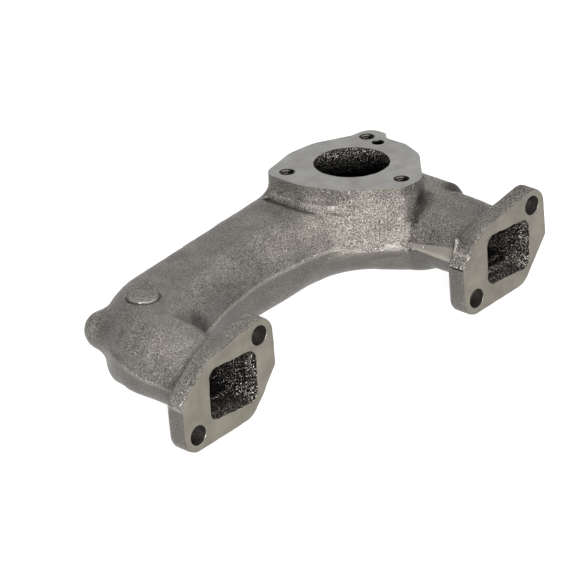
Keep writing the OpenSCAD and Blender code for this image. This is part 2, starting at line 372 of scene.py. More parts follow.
def outer_skin(x, y, z):
    """The outside of the casting."""
    plan = outline_distance(rounded(PLAN), x, y)
    top, bottom = pipe_heights(x, y)
    above = z - parting_height(x, y)
    side = plan + DRAFT * np.abs(above)
    dressed = ramp(x, *DRESSED_FROM) * (1 - ramp(x, *DRESSED_TO))
    side = side - (1 - dressed) * (PARTING_STEP * ramp(-above, -0.6, 0.6)
                                   + FLASH_H * np.exp(-(above / FLASH_W) ** 2))
    body = np.maximum(rounded_both(side, z - top, upper_radius(x, y)),
                      rounded_both(side, bottom - z, lower_radius(x, y)))

    outlet = outline_distance(rounded(OUTLET_FLANGE), x - OUTLET[0], y - OUTLET[1])
    column = rounded_both(outlet, COLUMN_BOTTOM - z, 5)
    fillet = CHAMBER_FILLET + (COLUMN_FILLET - CHAMBER_FILLET) * ramp(x, 160, 172)
    skin = either(body, column, fillet)
    bead_part = np.maximum(np.maximum(BEAD_Y[0] - y, y - BEAD_Y[1]), x - OUTLET[0] + 30)
    groove = np.hypot(outlet - BEAD_W - 1.5, z - top - GROOVE_LIFT) - GROOVE_R
    skin = without(skin, np.maximum(groove, bead_part), 2.0)
    slope = BEAD_SLOPE * np.clip(BEAD_W - outlet, 0, BEAD_W)
    bead = rounded_both(outlet - BEAD_W * ramp(y, BEAD_Y[0] - 2, BEAD_Y[0] + 9), z - BEAD_TOP - slope, 1.2)
    bead = np.maximum(np.maximum(bead, bead_part), RUNNER_TOP - 1.5 - z)
    skin = either(skin, bead, 1.8)

    shank_y = np.clip(y, BOSS_DOME[1] - BOSS_SHANK, BOSS_DOME[1])
    boss = np.sqrt((x - BOSS_DOME[0]) ** 2 + (y - shank_y) ** 2 + (z - BOSS_DOME[2]) ** 2) - BOSS_R
    skin = either(skin, boss, BOSS_FILLET)

    for port in (LEFT_PORT, RIGHT_PORT):
        skin = either(skin, port_prism(x, y, z, port[0], FLANGE_T), FLANGE_FILLET)
    for start, end in zip(FIN, FIN[1:]):
        skin = either(skin, line_distance((x, y, z), start, end) - FIN_R, FIN_FILLET)
    return skin


def gas_passage(x, y, z):
    """The cored inside, with both ports and the downcomer under the outlet."""
    plan = outline_distance(rounded(PLAN), x, y)
    top, bottom = pipe_heights(x, y)
    side = plan + WALL
    inside = np.maximum(rounded_both(side, z - top + WALL, TOP_R - WALL),
                        rounded_both(side, bottom + WALL - z, BOTTOM_R - 2))
    inside = np.maximum(inside, FLANGE_T - 1 - y)
    for port in (LEFT_PORT, RIGHT_PORT):
        inside = either(inside, port_opening(x, y, z, port[0]), 3)
    downcomer = np.hypot(x - OUTLET[0], y - OUTLET[1]) - OUTLET_BORE_R - 1.2
    return either(inside, np.maximum(downcomer, -z), 3)


def casting_field():
    """The whole raw casting on the grid, with the unevenness of a sand-cast surface."""
    x, y, z = (grid_axis(a) for a in range(3))
    rng = np.random.default_rng(RANDOM_SEED)
    waves = 0.10 * lattice_noise(GRID_SHAPE, 9 / GRID_STEP, rng)
    waves += 0.05 * lattice_noise(GRID_SHAPE, 3 / GRID_STEP, rng)
    pebbles = 0.22 * lattice_noise(GRID_SHAPE, 2.2 / GRID_STEP, rng)
    outside = outer_skin(x, y, z) + waves
    inside = gas_passage(x, y, z) + pebbles
    # the wall is nowhere thinner than MIN_WALL, except where the ports open
    open_port = 12 * (1 - ramp(y, 2, FLANGE_T - 1))
    inside = np.maximum(inside, outside + MIN_WALL - open_port)
    whole = without(outside, inside, 0.8).astype(np.float32)
    for axis in range(3):
        edge = np.moveaxis(whole, axis, 0)
        edge[0] = edge[-1] = GRID_STEP
    return whole, inside.astype(np.float32)


# -------------------- meshing

def surface_nets(field):
    """Points and quads of the zero surface of the grid: one point in each cell that it crosses."""
    solid = field < 0
    corners = [(i, j, k) for i in (0, 1) for j in (0, 1) for k in (0, 1)]
    nx, ny, nz = (n - 1 for n in field.shape)

    def corner_view(grid, corner):
        """The grid's values at one corner of every cell."""
        i, j, k = corner
        return grid[i:nx + i, j:ny + j, k:nz + k]

    count = sum(corner_view(solid, c).astype(np.int8) for c in corners)
    cells = np.argwhere((count > 0) & (count < 8))
    values = {c: field[tuple((cells + c).T)] for c in corners}
    total = np.zeros((len(cells), 3))
    crossings = np.zeros(len(cells))
    for axis in range(3):
        for c in corners:
            if c[axis] == 1:
                continue
            far = tuple(1 if a == axis else v for a, v in enumerate(c))
            a, b = values[c], values[far]
            crossed = (a < 0) != (b < 0)
            t = np.where(crossed, a / np.where(crossed, a - b, 1), 0)
            point = np.tile(np.array(c, float), (len(cells), 1))
            point[:, axis] = t
            total += point * crossed[:, None]
            crossings += crossed
    points = cells + total / crossings[:, None]

    index = np.full((nx, ny, nz), -1, np.int64)
    index[tuple(cells.T)] = np.arange(len(cells))
    quads = []
    for axis in range(3):
        near = [slice(1, -1)] * 3
        near[axis] = slice(0, -1)
        far = list(near)
        far[axis] = slice(1, None)
        a, b = solid[tuple(near)], solid[tuple(far)]
        u, v = (axis + 1) % 3, (axis + 2) % 3
        for inwards in (True, False):
            edges = np.argwhere(a & ~b if inwards else b & ~a)
            edges[:, u] += 1
            edges[:, v] += 1
            ring = []
            for du, dv in ((1, 1), (0, 1), (0, 0), (1, 0)):
                cell = edges.copy()
                cell[:, u] -= du
                cell[:, v] -= dv
                ring.append(index[tuple(cell.T)])
            ring = np.stack(ring, axis=1)
            quads.append(ring if inwards else ring[:, ::-1])
    return points * GRID_STEP + GRID_LOW, np.concatenate(quads)


def sample(grid, points):
    """The grid's values at points, linear between grid points."""
    at = np.clip((points - GRID_LOW) / GRID_STEP, 0, np.array(GRID_SHAPE) - 1.001)
    whole = at.astype(int)
    t = at - whole
    result = 0
    for i in (0, 1):
        for j in (0, 1):
            for k in (0, 1):
                weight = ((t[:, 0] if i else 1 - t[:, 0]) * (t[:, 1] if j else 1 - t[:, 1])
                          * (t[:, 2] if k else 1 - t[:, 2]))
                result = result + weight * grid[whole[:, 0] + i, whole[:, 1] + j, whole[:, 2] + k]
    return result


def directions(points):
    """Unit normals of the casting at points."""
    g = np.stack([sample(slope, points) for slope in SLOPES], axis=1)
    return g / np.maximum(np.linalg.norm(g, axis=1, keepdims=True), 1e-9)


def new_object(name, points, faces):
    """A mesh object from points in millimetres."""
    mesh = bpy.data.meshes.new(name)
    mesh.from_pydata((np.asarray(points) * MM).tolist(), [], [list(map(int, f)) for f in faces])
    obj = bpy.data.objects.new(name, mesh)
    bpy.context.scene.collection.objects.link(obj)
    return obj


# -------------------- cutters

def prism(name, ring, low, high):
    """A closed prism over a ring of points, between two heights."""
    count = len(ring)
    points = np.zeros((2 * count, 3))
    for level, height in enumerate((low, high)):
        rows = slice(level * count, (level + 1) * count)
        points[rows, :2] = ring
        points[rows, 2] = height
    sides = [(i, (i + 1) % count, count + (i + 1) % count, count + i) for i in range(count)]
    ends = [tuple(range(count))[::-1], tuple(range(count, 2 * count))]
    return outwards(new_object(name, points, sides + ends))


def box(name, low, high):
    """A closed box between two corners."""
    ring = np.array([(low[0], low[1]), (high[0], low[1]), (high[0], high[1]), (low[0], high[1])], float)
    return prism(name, ring, low[2], high[2])


def turned(name, profile, matrix, segments=64, thread=None):
    """A closed solid of revolution about its own Z. profile is a list of (radius, height).
    thread = (low, high) ripples the radius along a helix between those heights."""
    rings = []
    for r, h in profile:
        angle = np.arange(segments) * 2 * math.pi / segments
        radius = np.full(segments, float(r))
        if thread and thread[0] <= h <= thread[1]:
            phase = (h / THREAD_PITCH - angle / (2 * math.pi)) % 1
            radius += THREAD_DEPTH * (1 - np.abs(2 * phase - 1))
        rings.append(np.stack([radius * np.cos(angle), radius * np.sin(angle), np.full(segments, h)], 1))
    points = np.concatenate(rings)
    faces = []
    for k in range(len(rings) - 1):
        for i in range(segments):
            j = (i + 1) % segments
            faces.append((k * segments + i, k * segments + j, (k + 1) * segments + j, (k + 1) * segments + i))
    faces.append(tuple(range(segments))[::-1])
    faces.append(tuple((len(rings) - 1) * segments + i for i in range(segments)))
    obj = new_object(name, points, faces)
    obj.data.transform(Matrix.Scale(1 / MM, 4))
    obj.data.transform(matrix)
    obj.data.transform(Matrix.Scale(MM, 4))
    return outwards(obj)


def outwards(obj):
    """Turns every face of a closed mesh outwards."""
    work = bmesh.new()
    work.from_mesh(obj.data)
    bmesh.ops.recalc_face_normals(work, faces=work.faces)
    work.to_mesh(obj.data)
    work.free()
    return obj


def cut(obj, cutter, operation, keep_cutter=False):
    """Applies one boolean to obj."""
    modifier = obj.modifiers.new("cut", "BOOLEAN")
    modifier.operation = operation
    modifier.solver = "MANIFOLD"
    modifier.object = cutter
    evaluated = obj.evaluated_get(bpy.context.evaluated_depsgraph_get())
    mesh = bpy.data.meshes.new_from_object(evaluated)
    obj.modifiers.clear()
    old = obj.data
    obj.data = mesh
    bpy.data.meshes.remove(old)
    if not keep_cutter:
        bpy.data.objects.remove(cutter)
    return obj


def copy_of(obj, name):
    """Another object with its own copy of the mesh."""
    made = bpy.data.objects.new(name, obj.data.copy())
    bpy.context.scene.collection.objects.link(made)
    return made


def hole_profile(radius, depth, chamfer, bottom_cone=True):
    """Profile of a drilled hole whose face is at height 0, with a chamfer at the face."""
    profile = [(radius, -depth), (radius, -chamfer), (radius + chamfer, 0), (radius + chamfer, 2)]
    if bottom_cone:
        profile.insert(0, (0.05, -depth - radius * 0.5))
    return profile


def stud_holes(port):
    """Both stud holes of a port flange: through holes along Y."""
    made = []
    for turn in (0, 180):
        a = math.radians(STUD_ANGLE + turn)
        r = STUDS["pcd_mm"] / 2
        place = Matrix.Translation((port[0] + r * math.cos(a), 0, r * math.sin(a)))
        profile = hole_profile(STUDS["hole_r_mm"], FLANGE_T + 3, CHAMFER, bottom_cone=False)
        made.append(turned("stud_hole", profile, place @ Matrix.Rotation(math.radians(90), 4, "X")))
    return made


def tapped_holes():
    """The three threaded blind holes of the outlet."""
    made = []
    core = OUTLET_STUDS["hole_r_mm"]
    mouth = core + THREAD_DEPTH + 0.2
    heights = np.arange(-TAPPED_DEPTH, -0.8 + 1e-6, THREAD_PITCH / 5)
    profile = [(0.05, -TAPPED_DEPTH - core * 0.5)] + [(core, h) for h in heights]
    profile += [(mouth, -0.5), (mouth, 2)]
    for degrees in TAPPED_ANGLES:
        a = math.radians(degrees)
        r = OUTLET_STUDS["pcd_mm"] / 2
        place = Matrix.Translation((OUTLET[0] + r * math.cos(a), OUTLET[1] + r * math.sin(a), FACE_Z))
        made.append(turned("tapped_hole", profile, place, 40, thread=(heights[0], heights[-1] - 0.01)))
    return made


def outlet_bore():
    """The bore of the outlet flange, down into the cast downcomer."""
    profile = hole_profile(OUTLET_BORE_R, FACE_Z - NECK_Z + 1.5, CHAMFER, bottom_cone=False)
    return turned("bore", profile, Matrix.Translation(tuple(OUTLET)), 128)


def locating_hole():
    """The small blind hole beside one of the tapped holes."""
    place = Matrix.Translation((LOCATING_HOLE[0], LOCATING_HOLE[1], FACE_Z))
    profile = hole_profile(LOCATING_DIMS["r_mm"], LOCATING_DIMS["length_mm"], LOCATING_CHAMFER)
    return turned("locating_hole", profile, place)


# -------------------- pieces

def half_space_box(point, normal):
    """A large box on the far side of a plane."""
    size = 80
    made = box("half_space", (-size, -size, 0), (size, size, size))
    turn = Vector(normal).to_track_quat("Z", "Y").to_matrix().to_4x4()
    made.data.transform(Matrix.Translation(Vector(point) * MM) @ turn)
    return made


def bead_cutter():
    """The strip just outside the outlet flange's left side, down to the runner's top."""
    ring = rounded(OUTLET_FLANGE, 24) + OUTLET[:2]
    nearby = [p for p in ring if p[0] < OUTLET[0] - 24 and BEAD_Y[0] - 4 < p[1] < BEAD_Y[1] + 2]
    nearby = np.array(sorted(nearby, key=lambda p: p[1]))
    along = np.gradient(nearby, axis=0)
    along /= np.linalg.norm(along, axis=1, keepdims=True)
    away = np.stack([-along[:, 1], along[:, 0]], axis=1)
    inner = nearby + away * 0.05
    outer = nearby + away * (BEAD_W + 1.5)
    return prism("bead_cutter", np.concatenate([inner, outer[::-1]]), RUNNER_TOP - 6, NECK_Z + 4)


def region(name, low, high, *more):
    """The part of the casting inside a box, then inside or outside further cutters."""
    piece = cut(copy_of(CASTING, name), box("region", low, high), "INTERSECT")
    for cutter, operation in more:
        cut(piece, cutter, operation)
    return piece


def classify(piece):
    """Which faces of a piece are cast, milled, bored or cored, and which take the casting's smooth normals.
    """
    mesh = piece.data
    count = len(mesh.polygons)
    centres = np.zeros(count * 3)
    normals = np.zeros(count * 3)
    mesh.polygons.foreach_get("center", centres)
    mesh.polygons.foreach_get("normal", normals)
    centres = centres.reshape(-1, 3) / MM
    normals = normals.reshape(-1, 3)
    level = sample(FIELD, centres)
    agrees = np.einsum("ij,ij->i", normals, directions(centres))
    near_face = (centres[:, 1] < 0.7) | (centres[:, 2] > FACE_Z - 0.7)
    cast = (np.abs(level) < 0.35) & (agrees > np.where(near_face, 0.9, 0.6))
    on_face = (np.abs(centres[:, 1]) < 0.02) | (np.abs(centres[:, 2] - FACE_Z) < 0.02)
    flat = np.abs(normals).max(axis=1) > 0.9999
    milled = on_face & flat
    cast &= ~milled
    bore_wall = np.hypot(centres[:, 0] - OUTLET[0], centres[:, 1] - OUTLET[1]) < OUTLET_BORE_R + 0.02
    bore_wall &= np.abs(normals[:, 2]) < 0.1
    inner = (cast & (np.abs(sample(PASSAGE, centres)) < 1)) | (bore_wall & ~cast & ~milled)
    kind = np.where(inner, 3, np.where(cast, 0, np.where(milled, 1, 2)))
    # caps where two regions meet are cast too: they never show
    planes = ((1, FLANGE_T), (1, LEFT_PIPE_END), (1, RIGHT_PIPE_END), (0, ELBOW_END),
              (0, RUNNER_SPLIT), (0, RUNNER_END), (2, NECK_Z))
    for axis, at in planes:
        on_cap = (np.abs(centres[:, axis] - at) < 0.01) & (np.abs(normals[:, axis]) > 0.999)
        kind[on_cap & (kind == 2)] = 0
    return kind, cast


def points_mm(mesh):
    """The mesh's points, in millimetres."""
    points = np.zeros(len(mesh.vertices) * 3)
    mesh.vertices.foreach_get("co", points)
    return points.reshape(-1, 3) / MM


def store(mesh, name, values):
    """Stores a value of 0 to 1 at each point, for the materials to read."""
    attribute = mesh.attributes.new(name, "FLOAT", "POINT")
    attribute.data.foreach_set("value", np.clip(values, 0, 1).astype(np.float32))


def cast_normals(mesh, cast):
    """Gives the cast faces the smooth normals of the casting, and keeps the others' own."""
    loops = len(mesh.loops)
    normals = np.zeros(loops * 3, np.float32)
    mesh.corner_normals.foreach_get("vector", normals)
    normals = normals.reshape(-1, 3)
    corner = np.zeros(loops, np.int32)
    mesh.loops.foreach_get("vertex_index", corner)
    sizes = np.zeros(len(mesh.polygons), np.int32)
    mesh.polygons.foreach_get("loop_total", sizes)
    cast_corner = np.repeat(cast, sizes)
    normals[cast_corner] = directions(points_mm(mesh))[corner[cast_corner]]
    mesh.normals_split_custom_set(normals.tolist())


def store_shade_and_wear(mesh):
    """Stores painted shade, in tight concave corners, at the listed spots and round the date pad, and how far
    edges are lighter: partly wear, partly a painted highlight, also along the fin.
    """
    points = points_mm(mesh)
    bend = sample(CURVATURE, points)
    # painted shade in tight concave corners
    dark = -4 * bend - 1
    # painted shade at the listed spots
    for start, end, radius in SHADE_SPOTS:
        dark = np.maximum(dark, 1.5 * (1 - line_distance(points.T, start, end) / radius))
    pad_centre = (DATE_PAD_LOW + DATE_PAD_HIGH) / 2
    pad_edge = np.hypot(points[:, 0] - pad_centre[0], points[:, 1] - pad_centre[1]) - DATE_PAD_R
    # painted shadow round the edge of the date pad
    pad_outline_shade = np.where(points[:, 2] > RUNNER_TOP - 3, 1.3 - np.abs(pad_edge - 0.3), 0)
    store(mesh, "painted_shade", np.maximum(dark, pad_outline_shade))
    # lighter on convex edges, partly wear and partly a painted highlight; a painted highlight along the fin
    fin = np.min([line_distance(points.T, a, b) for a, b in zip(FIN, FIN[1:])], axis=0)
    store(mesh, "wear_and_highlight", np.maximum(0.55 * bend, 1.8 - fin))


def finish_piece(piece, node):
    """Materials by kind of face, smooth cast skin, and its place in the frame."""
    kind, cast = classify(piece)
    mesh = piece.data
    mesh.materials.clear()
    for material in (CAST, MILLED, BORED, CORED):
        mesh.materials.append(material)
    mesh.polygons.foreach_set("material_index", kind.astype(np.int32))
    mesh.polygons.foreach_set("use_smooth", np.ones(len(kind), bool))
    mesh.update()
    mesh.set_sharp_from_angle(angle=math.radians(30))
    cast_normals(mesh, cast)
    store_shade_and_wear(mesh)
    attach(piece, "root")
    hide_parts(node)


def pad_height(r, angle):
    """Height of the date pad's top: a rounded edge, a raised rim, a ring of dots and one in the middle."""
    edge = max(0.0, (r - DATE_PAD_R + PAD_EDGE_W) / PAD_EDGE_W)
    rim = 0.12 * math.exp(-((r - DATE_PAD_R + 1.1) / 0.45) ** 2)
    dot_angle = round(angle / (2 * math.pi) * PAD_DOTS) * 2 * math.pi / PAD_DOTS
    away = math.hypot(r * math.cos(angle) - PAD_DOT_RING_R * math.cos(dot_angle),
                      r * math.sin(angle) - PAD_DOT_RING_R * math.sin(dot_angle))
    dot = 0.3 * math.exp(-(away / 0.55) ** 2)
    middle_dot = 0.2 * math.exp(-(r / 0.9) ** 2)
    return DATE_PAD_LOW[2] + PAD_TOP - 0.5 * edge * edge + rim + dot + middle_dot


def date_pad():
    """A low round pad with a raised rim and a plain ring of dots, for marking the casting date."""
    centre = (DATE_PAD_LOW + DATE_PAD_HIGH) / 2
    segments, rings = 96, 30
    angles = [2 * math.pi * j / segments for j in range(segments)]
    points, faces = [], []
    for i in range(rings + 1):
        r = DATE_PAD_R * (i + 0.5) / (rings + 0.5)
        for a in angles:
            points.append((centre[0] + r * math.cos(a), centre[1] + r * math.sin(a), pad_height(r, a)))
    for a in angles:
        points.append((centre[0] + DATE_PAD_R * math.cos(a), centre[1] + DATE_PAD_R * math.sin(a),
                       DATE_PAD_LOW[2] - PAD_SUNK))
    for i in range(rings + 1):
        inner, outer = i * segments, (i + 1) * segments
        for j in range(segments):
            k = (j + 1) % segments
            faces.append((inner + j, outer + j, outer + k, inner + k))
    faces.append(tuple(range(segments)))
    faces.append(tuple(outer + j for j in range(segments))[::-1])
    pad = outwards(new_object("date_pad_disc", points, faces))
    pad.data.materials.append(CAST)
    pad.data.polygons.foreach_set("use_smooth", np.ones(len(faces), bool))
    pad.data.set_sharp_from_angle(angle=math.radians(50))
    ring_of = np.arange(len(pad.data.vertices)) // segments
    # lighter on the pad's top and rim: partly wear, partly a painted highlight
    store(pad.data, "wear_and_highlight", np.where(ring_of < rings - 1, 0.2, 0.1))
    # painted shade on the pad's foot, round its edge
    store(pad.data, "painted_shade", np.where(ring_of > rings, 1.0, 0.0))
    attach(pad, "root")
    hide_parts("date_pad")


# -------------------- materials

def shader(name):
    """A new material, its node tree and its surface shader."""
    material = bpy.data.materials.new(name)
    material.use_nodes = True
    return material, material.node_tree, material.node_tree.nodes["Principled BSDF"]


def place_mm(tree):
    """Object coordinates in millimetres."""
    coordinates = tree.nodes.new("ShaderNodeTexCoord")
    scale = tree.nodes.new("ShaderNodeVectorMath")
    scale.operation = "SCALE"
    scale.inputs["Scale"].default_value = 1 / MM
    tree.links.new(coordinates.outputs["Object"], scale.inputs[0])
    return scale.outputs[0]


def noise(tree, place, scale, detail=2.0, roughness=0.5):
    """Noise of 0 to 1, with scale features to the millimetre."""
    made = tree.nodes.new("ShaderNodeTexNoise")
    made.inputs["Scale"].default_value = scale
    made.inputs["Detail"].default_value = detail
    made.inputs["Roughness"].default_value = roughness
    tree.links.new(place, made.inputs["Vector"])
    return made.outputs["Fac"]


def between(tree, value, low, high, start, end):
    """Maps value from low..high to start..end, held at both ends."""
    made = tree.nodes.new("ShaderNodeMapRange")
    for name, number in (("From Min", low), ("From Max", high), ("To Min", start), ("To Max", end)):
        made.inputs[name].default_value = number
    tree.links.new(value, made.inputs["Value"])
    return made.outputs["Result"]


def colours(tree, value, stops):
    """Colour along stops (position, (r, g, b))."""
    made = tree.nodes.new("ShaderNodeValToRGB")
    ramp_stops = made.color_ramp.elements
    while len(ramp_stops) < len(stops):
        ramp_stops.new(0.5)
    for element, (position, colour) in zip(ramp_stops, stops):
        element.position = position
        element.color = (*colour, 1)
    tree.links.new(value, made.inputs["Fac"])
    return made.outputs["Color"]


def math_node(tree, operation, a, b=0):
    """One math operation on numbers or sockets."""
    made = tree.nodes.new("ShaderNodeMath")
    made.operation = operation
    for socket, value in zip(made.inputs, (a, b)):
        if isinstance(value, (int, float)):
            socket.default_value = value
        else:
            tree.links.new(value, socket)
    return made.outputs[0]


def bumped(tree, height, strength, distance, normal=None):
    """A normal bumped by height, where 1 stands for distance in millimetres."""
    made = tree.nodes.new("ShaderNodeBump")
    made.inputs["Strength"].default_value = strength
    made.inputs["Distance"].default_value = distance * MM
    tree.links.new(height, made.inputs["Height"])
    if normal is not None:
        tree.links.new(normal, made.inputs["Normal"])
    return made.outputs["Normal"]


def axes_of(tree, place):
    """The three coordinates of a place."""
    made = tree.nodes.new("ShaderNodeSeparateXYZ")
    tree.links.new(place, made.inputs[0])
    return made.outputs["X"], made.outputs["Y"], made.outputs["Z"]


def mesh_value(tree, name):
    """A value that finish_piece stored on the mesh."""
    made = tree.nodes.new("ShaderNodeAttribute")
    made.attribute_name = name
    return made.outputs["Fac"]


def multiplied(tree, a, b):
    """a times b."""
    return math_node(tree, "MULTIPLY", a, b)


def added(tree, a, b):
    """a plus b."""
    return math_node(tree, "ADD", a, b)


def fettled_flash_and_highlight(tree, x, y, above):
    """1 along the fettled parting line, 0 away from it: lighter, partly ground flash and partly a painted
    highlight on its ridge. It was dressed off under the outlet, and is hidden by the boss behind the elbow."""
    line = between(tree, multiplied(tree, above, above), 0.3, 1.4, 1, 0)
    line = multiplied(tree, line, between(tree, x, 148, 155, 1, 0))
    behind = added(tree, y, multiplied(tree, x, -1))
    return multiplied(tree, line, between(tree, behind, 72, 78, 1, 0))


def smooth_patch_and_highlight(tree, x, y, z):
    """1 on a lighter, smoother patch on the right pipe's side: partly ground smooth, partly a painted
    highlight. It widens to the flange.
    """
    height = between(tree, y, 14, 42, 4.6, 1.6)
    centre = between(tree, y, 14, 40, 2.4, 1.0)
    off = math_node(tree, "DIVIDE", math_node(tree, "SUBTRACT", z, centre), height)
    patch = between(tree, multiplied(tree, off, off), 0.8, 1, 1, 0)
    patch = multiplied(tree, patch, between(tree, x, 176.5, 178, 0, 1))
    patch = multiplied(tree, patch, between(tree, x, 183, 185, 1, 0))
    return multiplied(tree, patch, between(tree, y, 40, 44, 1, 0))


def side_line(tree, x, y, z):
    """1 on the dark joint line across the right port flange's left side."""
    off = math_node(tree, "ABSOLUTE", added(tree, z, -0.1))
    line = between(tree, off, 0.3, 0.5, 1, 0)
    line = multiplied(tree, line, between(tree, x, 176, 177, 1, 0))
    line = multiplied(tree, line, between(tree, x, 160, 161, 0, 1))
    return multiplied(tree, line, between(tree, y, 8, 9, 1, 0))


def faint_print(tree, place):
    """1 on a thin broken circle on top of the runner."""
    x, y, z = axes_of(tree, place)
    x, y = added(tree, x, -PRINT_CENTRE[0]), added(tree, y, -PRINT_CENTRE[1])
    square = added(tree, multiplied(tree, x, x), multiplied(tree, y, y))
    radius = math_node(tree, "SQRT", square)
    off = math_node(tree, "ABSOLUTE", added(tree, radius, -PRINT_R))
    line = multiplied(tree, between(tree, off, 0.3, 0.8, 1, 0),
                      between(tree, z, RUNNER_TOP - 2, RUNNER_TOP - 1, 0, 1))
    return multiplied(tree, line, between(tree, y, -3, 5, 1, 0.2))


def upper_half(tree, place, x, above):
    """1 above the parting line, 0 below it, with a ragged fettled edge under the outlet."""
    ragged = between(tree, x, *RAGGED_X, 0, 16)
    wander = added(tree, noise(tree, place, 0.13, 3.0, 0.6), -0.47)
    edge = added(tree, above, multiplied(tree, wander, ragged))
    return between(tree, edge, -0.25, 0.25, 0, 1)


def cast_material():
    """Shot-blasted grey iron: a granular skin whose grains catch the light, painted shade in tight concave
    corners and at listed spots, edges lighter by wear and a painted highlight, and smoother below the parting
    line."""
    material, tree, surface = shader("cast_iron_skin")
    place = place_mm(tree)
    x, y, z = axes_of(tree, place)
    grains = noise(tree, place, 1.3, 2.0, 0.65)
    fine = noise(tree, place, 3.2, 1.0, 0.5)
    blotches = noise(tree, place, 0.07, 4.0, 0.6)
    drop = multiplied(tree, between(tree, y, *PARTING_DROP_Y, PARTING_DROP, 0),
                      between(tree, x, 60, 90, 1, 0))
    above = added(tree, added(tree, z, drop), -PARTING_Z)
    upper = upper_half(tree, place, x, above)
    ragged = between(tree, x, *RAGGED_X, 0, 0.12)
    line = fettled_flash_and_highlight(tree, x, y, above)
    patch = smooth_patch_and_highlight(tree, x, y, z)
    tone = added(tree, multiplied(tree, grains, 0.8), multiplied(tree, blotches, 0.2))
    spread = between(tree, upper, 0, 1, 0.45, 1.0)
    spread = multiplied(tree, spread, between(tree, patch, 0, 1, 1, 0.3))
    tone = added(tree, multiplied(tree, added(tree, tone, -0.5), spread), 0.5)
    # the parting line is lighter: partly ground flash, partly a painted highlight
    tone = added(tree, tone, multiplied(tree, line, 0.1))
    # the smooth patch is lighter: partly ground, partly a painted highlight
    tone = added(tree, tone, multiplied(tree, patch, 0.2))
    tone = added(tree, tone, multiplied(tree, faint_print(tree, place), -0.07))
    tone = added(tree, tone, multiplied(tree, side_line(tree, x, y, z), -0.3))
    # lighter edges and fin: partly wear, partly a painted highlight
    tone = added(tree, tone, multiplied(tree, mesh_value(tree, "wear_and_highlight"), 0.2))
    # painted shade in tight concave corners, at the listed spots and round the date pad
    tone = added(tree, tone, multiplied(tree, mesh_value(tree, "painted_shade"), -0.2))
    tone = added(tree, tone, between(tree, z, FACE_Z - 6, FACE_Z - 4, 0, -0.04))
    # painted shade on the right pipe's left wall, in the recess between the tower and its flange, deeper
    # lower down
    on_right_pipe = multiplied(tree, between(tree, x, 178, 186, 0, 1),
                               between(tree, y, 42, 48, 1, 0))
    recess_shade = between(tree, z, 9, 15, -0.11, -0.035)
    tone = added(tree, tone, multiplied(tree, on_right_pipe, recess_shade))
    colour = colours(tree, tone, (
        (0.3, (0.02, 0.018, 0.015)), (0.36, (0.042, 0.038, 0.033)), (0.5, (0.115, 0.107, 0.097)),
        (0.64, (0.24, 0.226, 0.203)), (0.8, (0.40, 0.375, 0.33))))
    tree.links.new(colour, surface.inputs["Base Color"])
    surface.inputs["Metallic"].default_value = 0.95
    tree.links.new(between(tree, fine, 0.3, 0.7, 0.32, 0.47), surface.inputs["Roughness"])
    height = multiplied(tree, grains, between(tree, upper, 0, 1, 0.4, 1.0))
    height = multiplied(tree, height, between(tree, patch, 0, 1, 1, 0.25))
    height = added(tree, height, multiplied(tree, upper, ragged))
    coarse_bump = bumped(tree, height, 1.0, 0.9)
    tree.links.new(bumped(tree, fine, 0.6, 0.25, coarse_bump), surface.inputs["Normal"])
    return material


def cored_material():
    """The inside, cast against a sand core: bright pebbles with dark scale between them, and painted shade
    deeper in the passage.
    """
    material, tree, surface = shader("cored_iron")
    place = place_mm(tree)
    cells = tree.nodes.new("ShaderNodeTexVoronoi")
    cells.inputs["Scale"].default_value = 1.05
    tree.links.new(place, cells.inputs["Vector"])
    pebbles = between(tree, cells.outputs["Distance"], 0.0, 0.75, 1, 0)
    fine = noise(tree, place, 0.6, 3.0, 0.7)
    tone = added(tree, multiplied(tree, pebbles, 0.5), multiplied(tree, fine, 0.5))
    x, y, z = axes_of(tree, place)
    # painted shade: darker deeper in the passage, away from the ports and the outlet, most at the right
    near = math_node(tree, "MAXIMUM", between(tree, y, 5, 26, 1, 0),
                     between(tree, z, 20, 30, 0, 1))
    far = between(tree, near, 0, 1, 1, 0)
    tone = added(tree, tone, between(tree, near, 0, 1, -0.02, 0.03))
    tone = added(tree, tone, multiplied(tree, far, between(tree, x, 150, 175, -0.17, -0.24)))
    colour = colours(tree, tone, (
        (0.36, (0.012, 0.011, 0.010)), (0.52, (0.065, 0.06, 0.053)), (0.68, (0.32, 0.30, 0.265))))
    tree.links.new(colour, surface.inputs["Base Color"])
    surface.inputs["Metallic"].default_value = 0.9
    surface.inputs["Roughness"].default_value = 0.36
    tree.links.new(bumped(tree, tone, 1.0, 1.4), surface.inputs["Normal"])
    return material


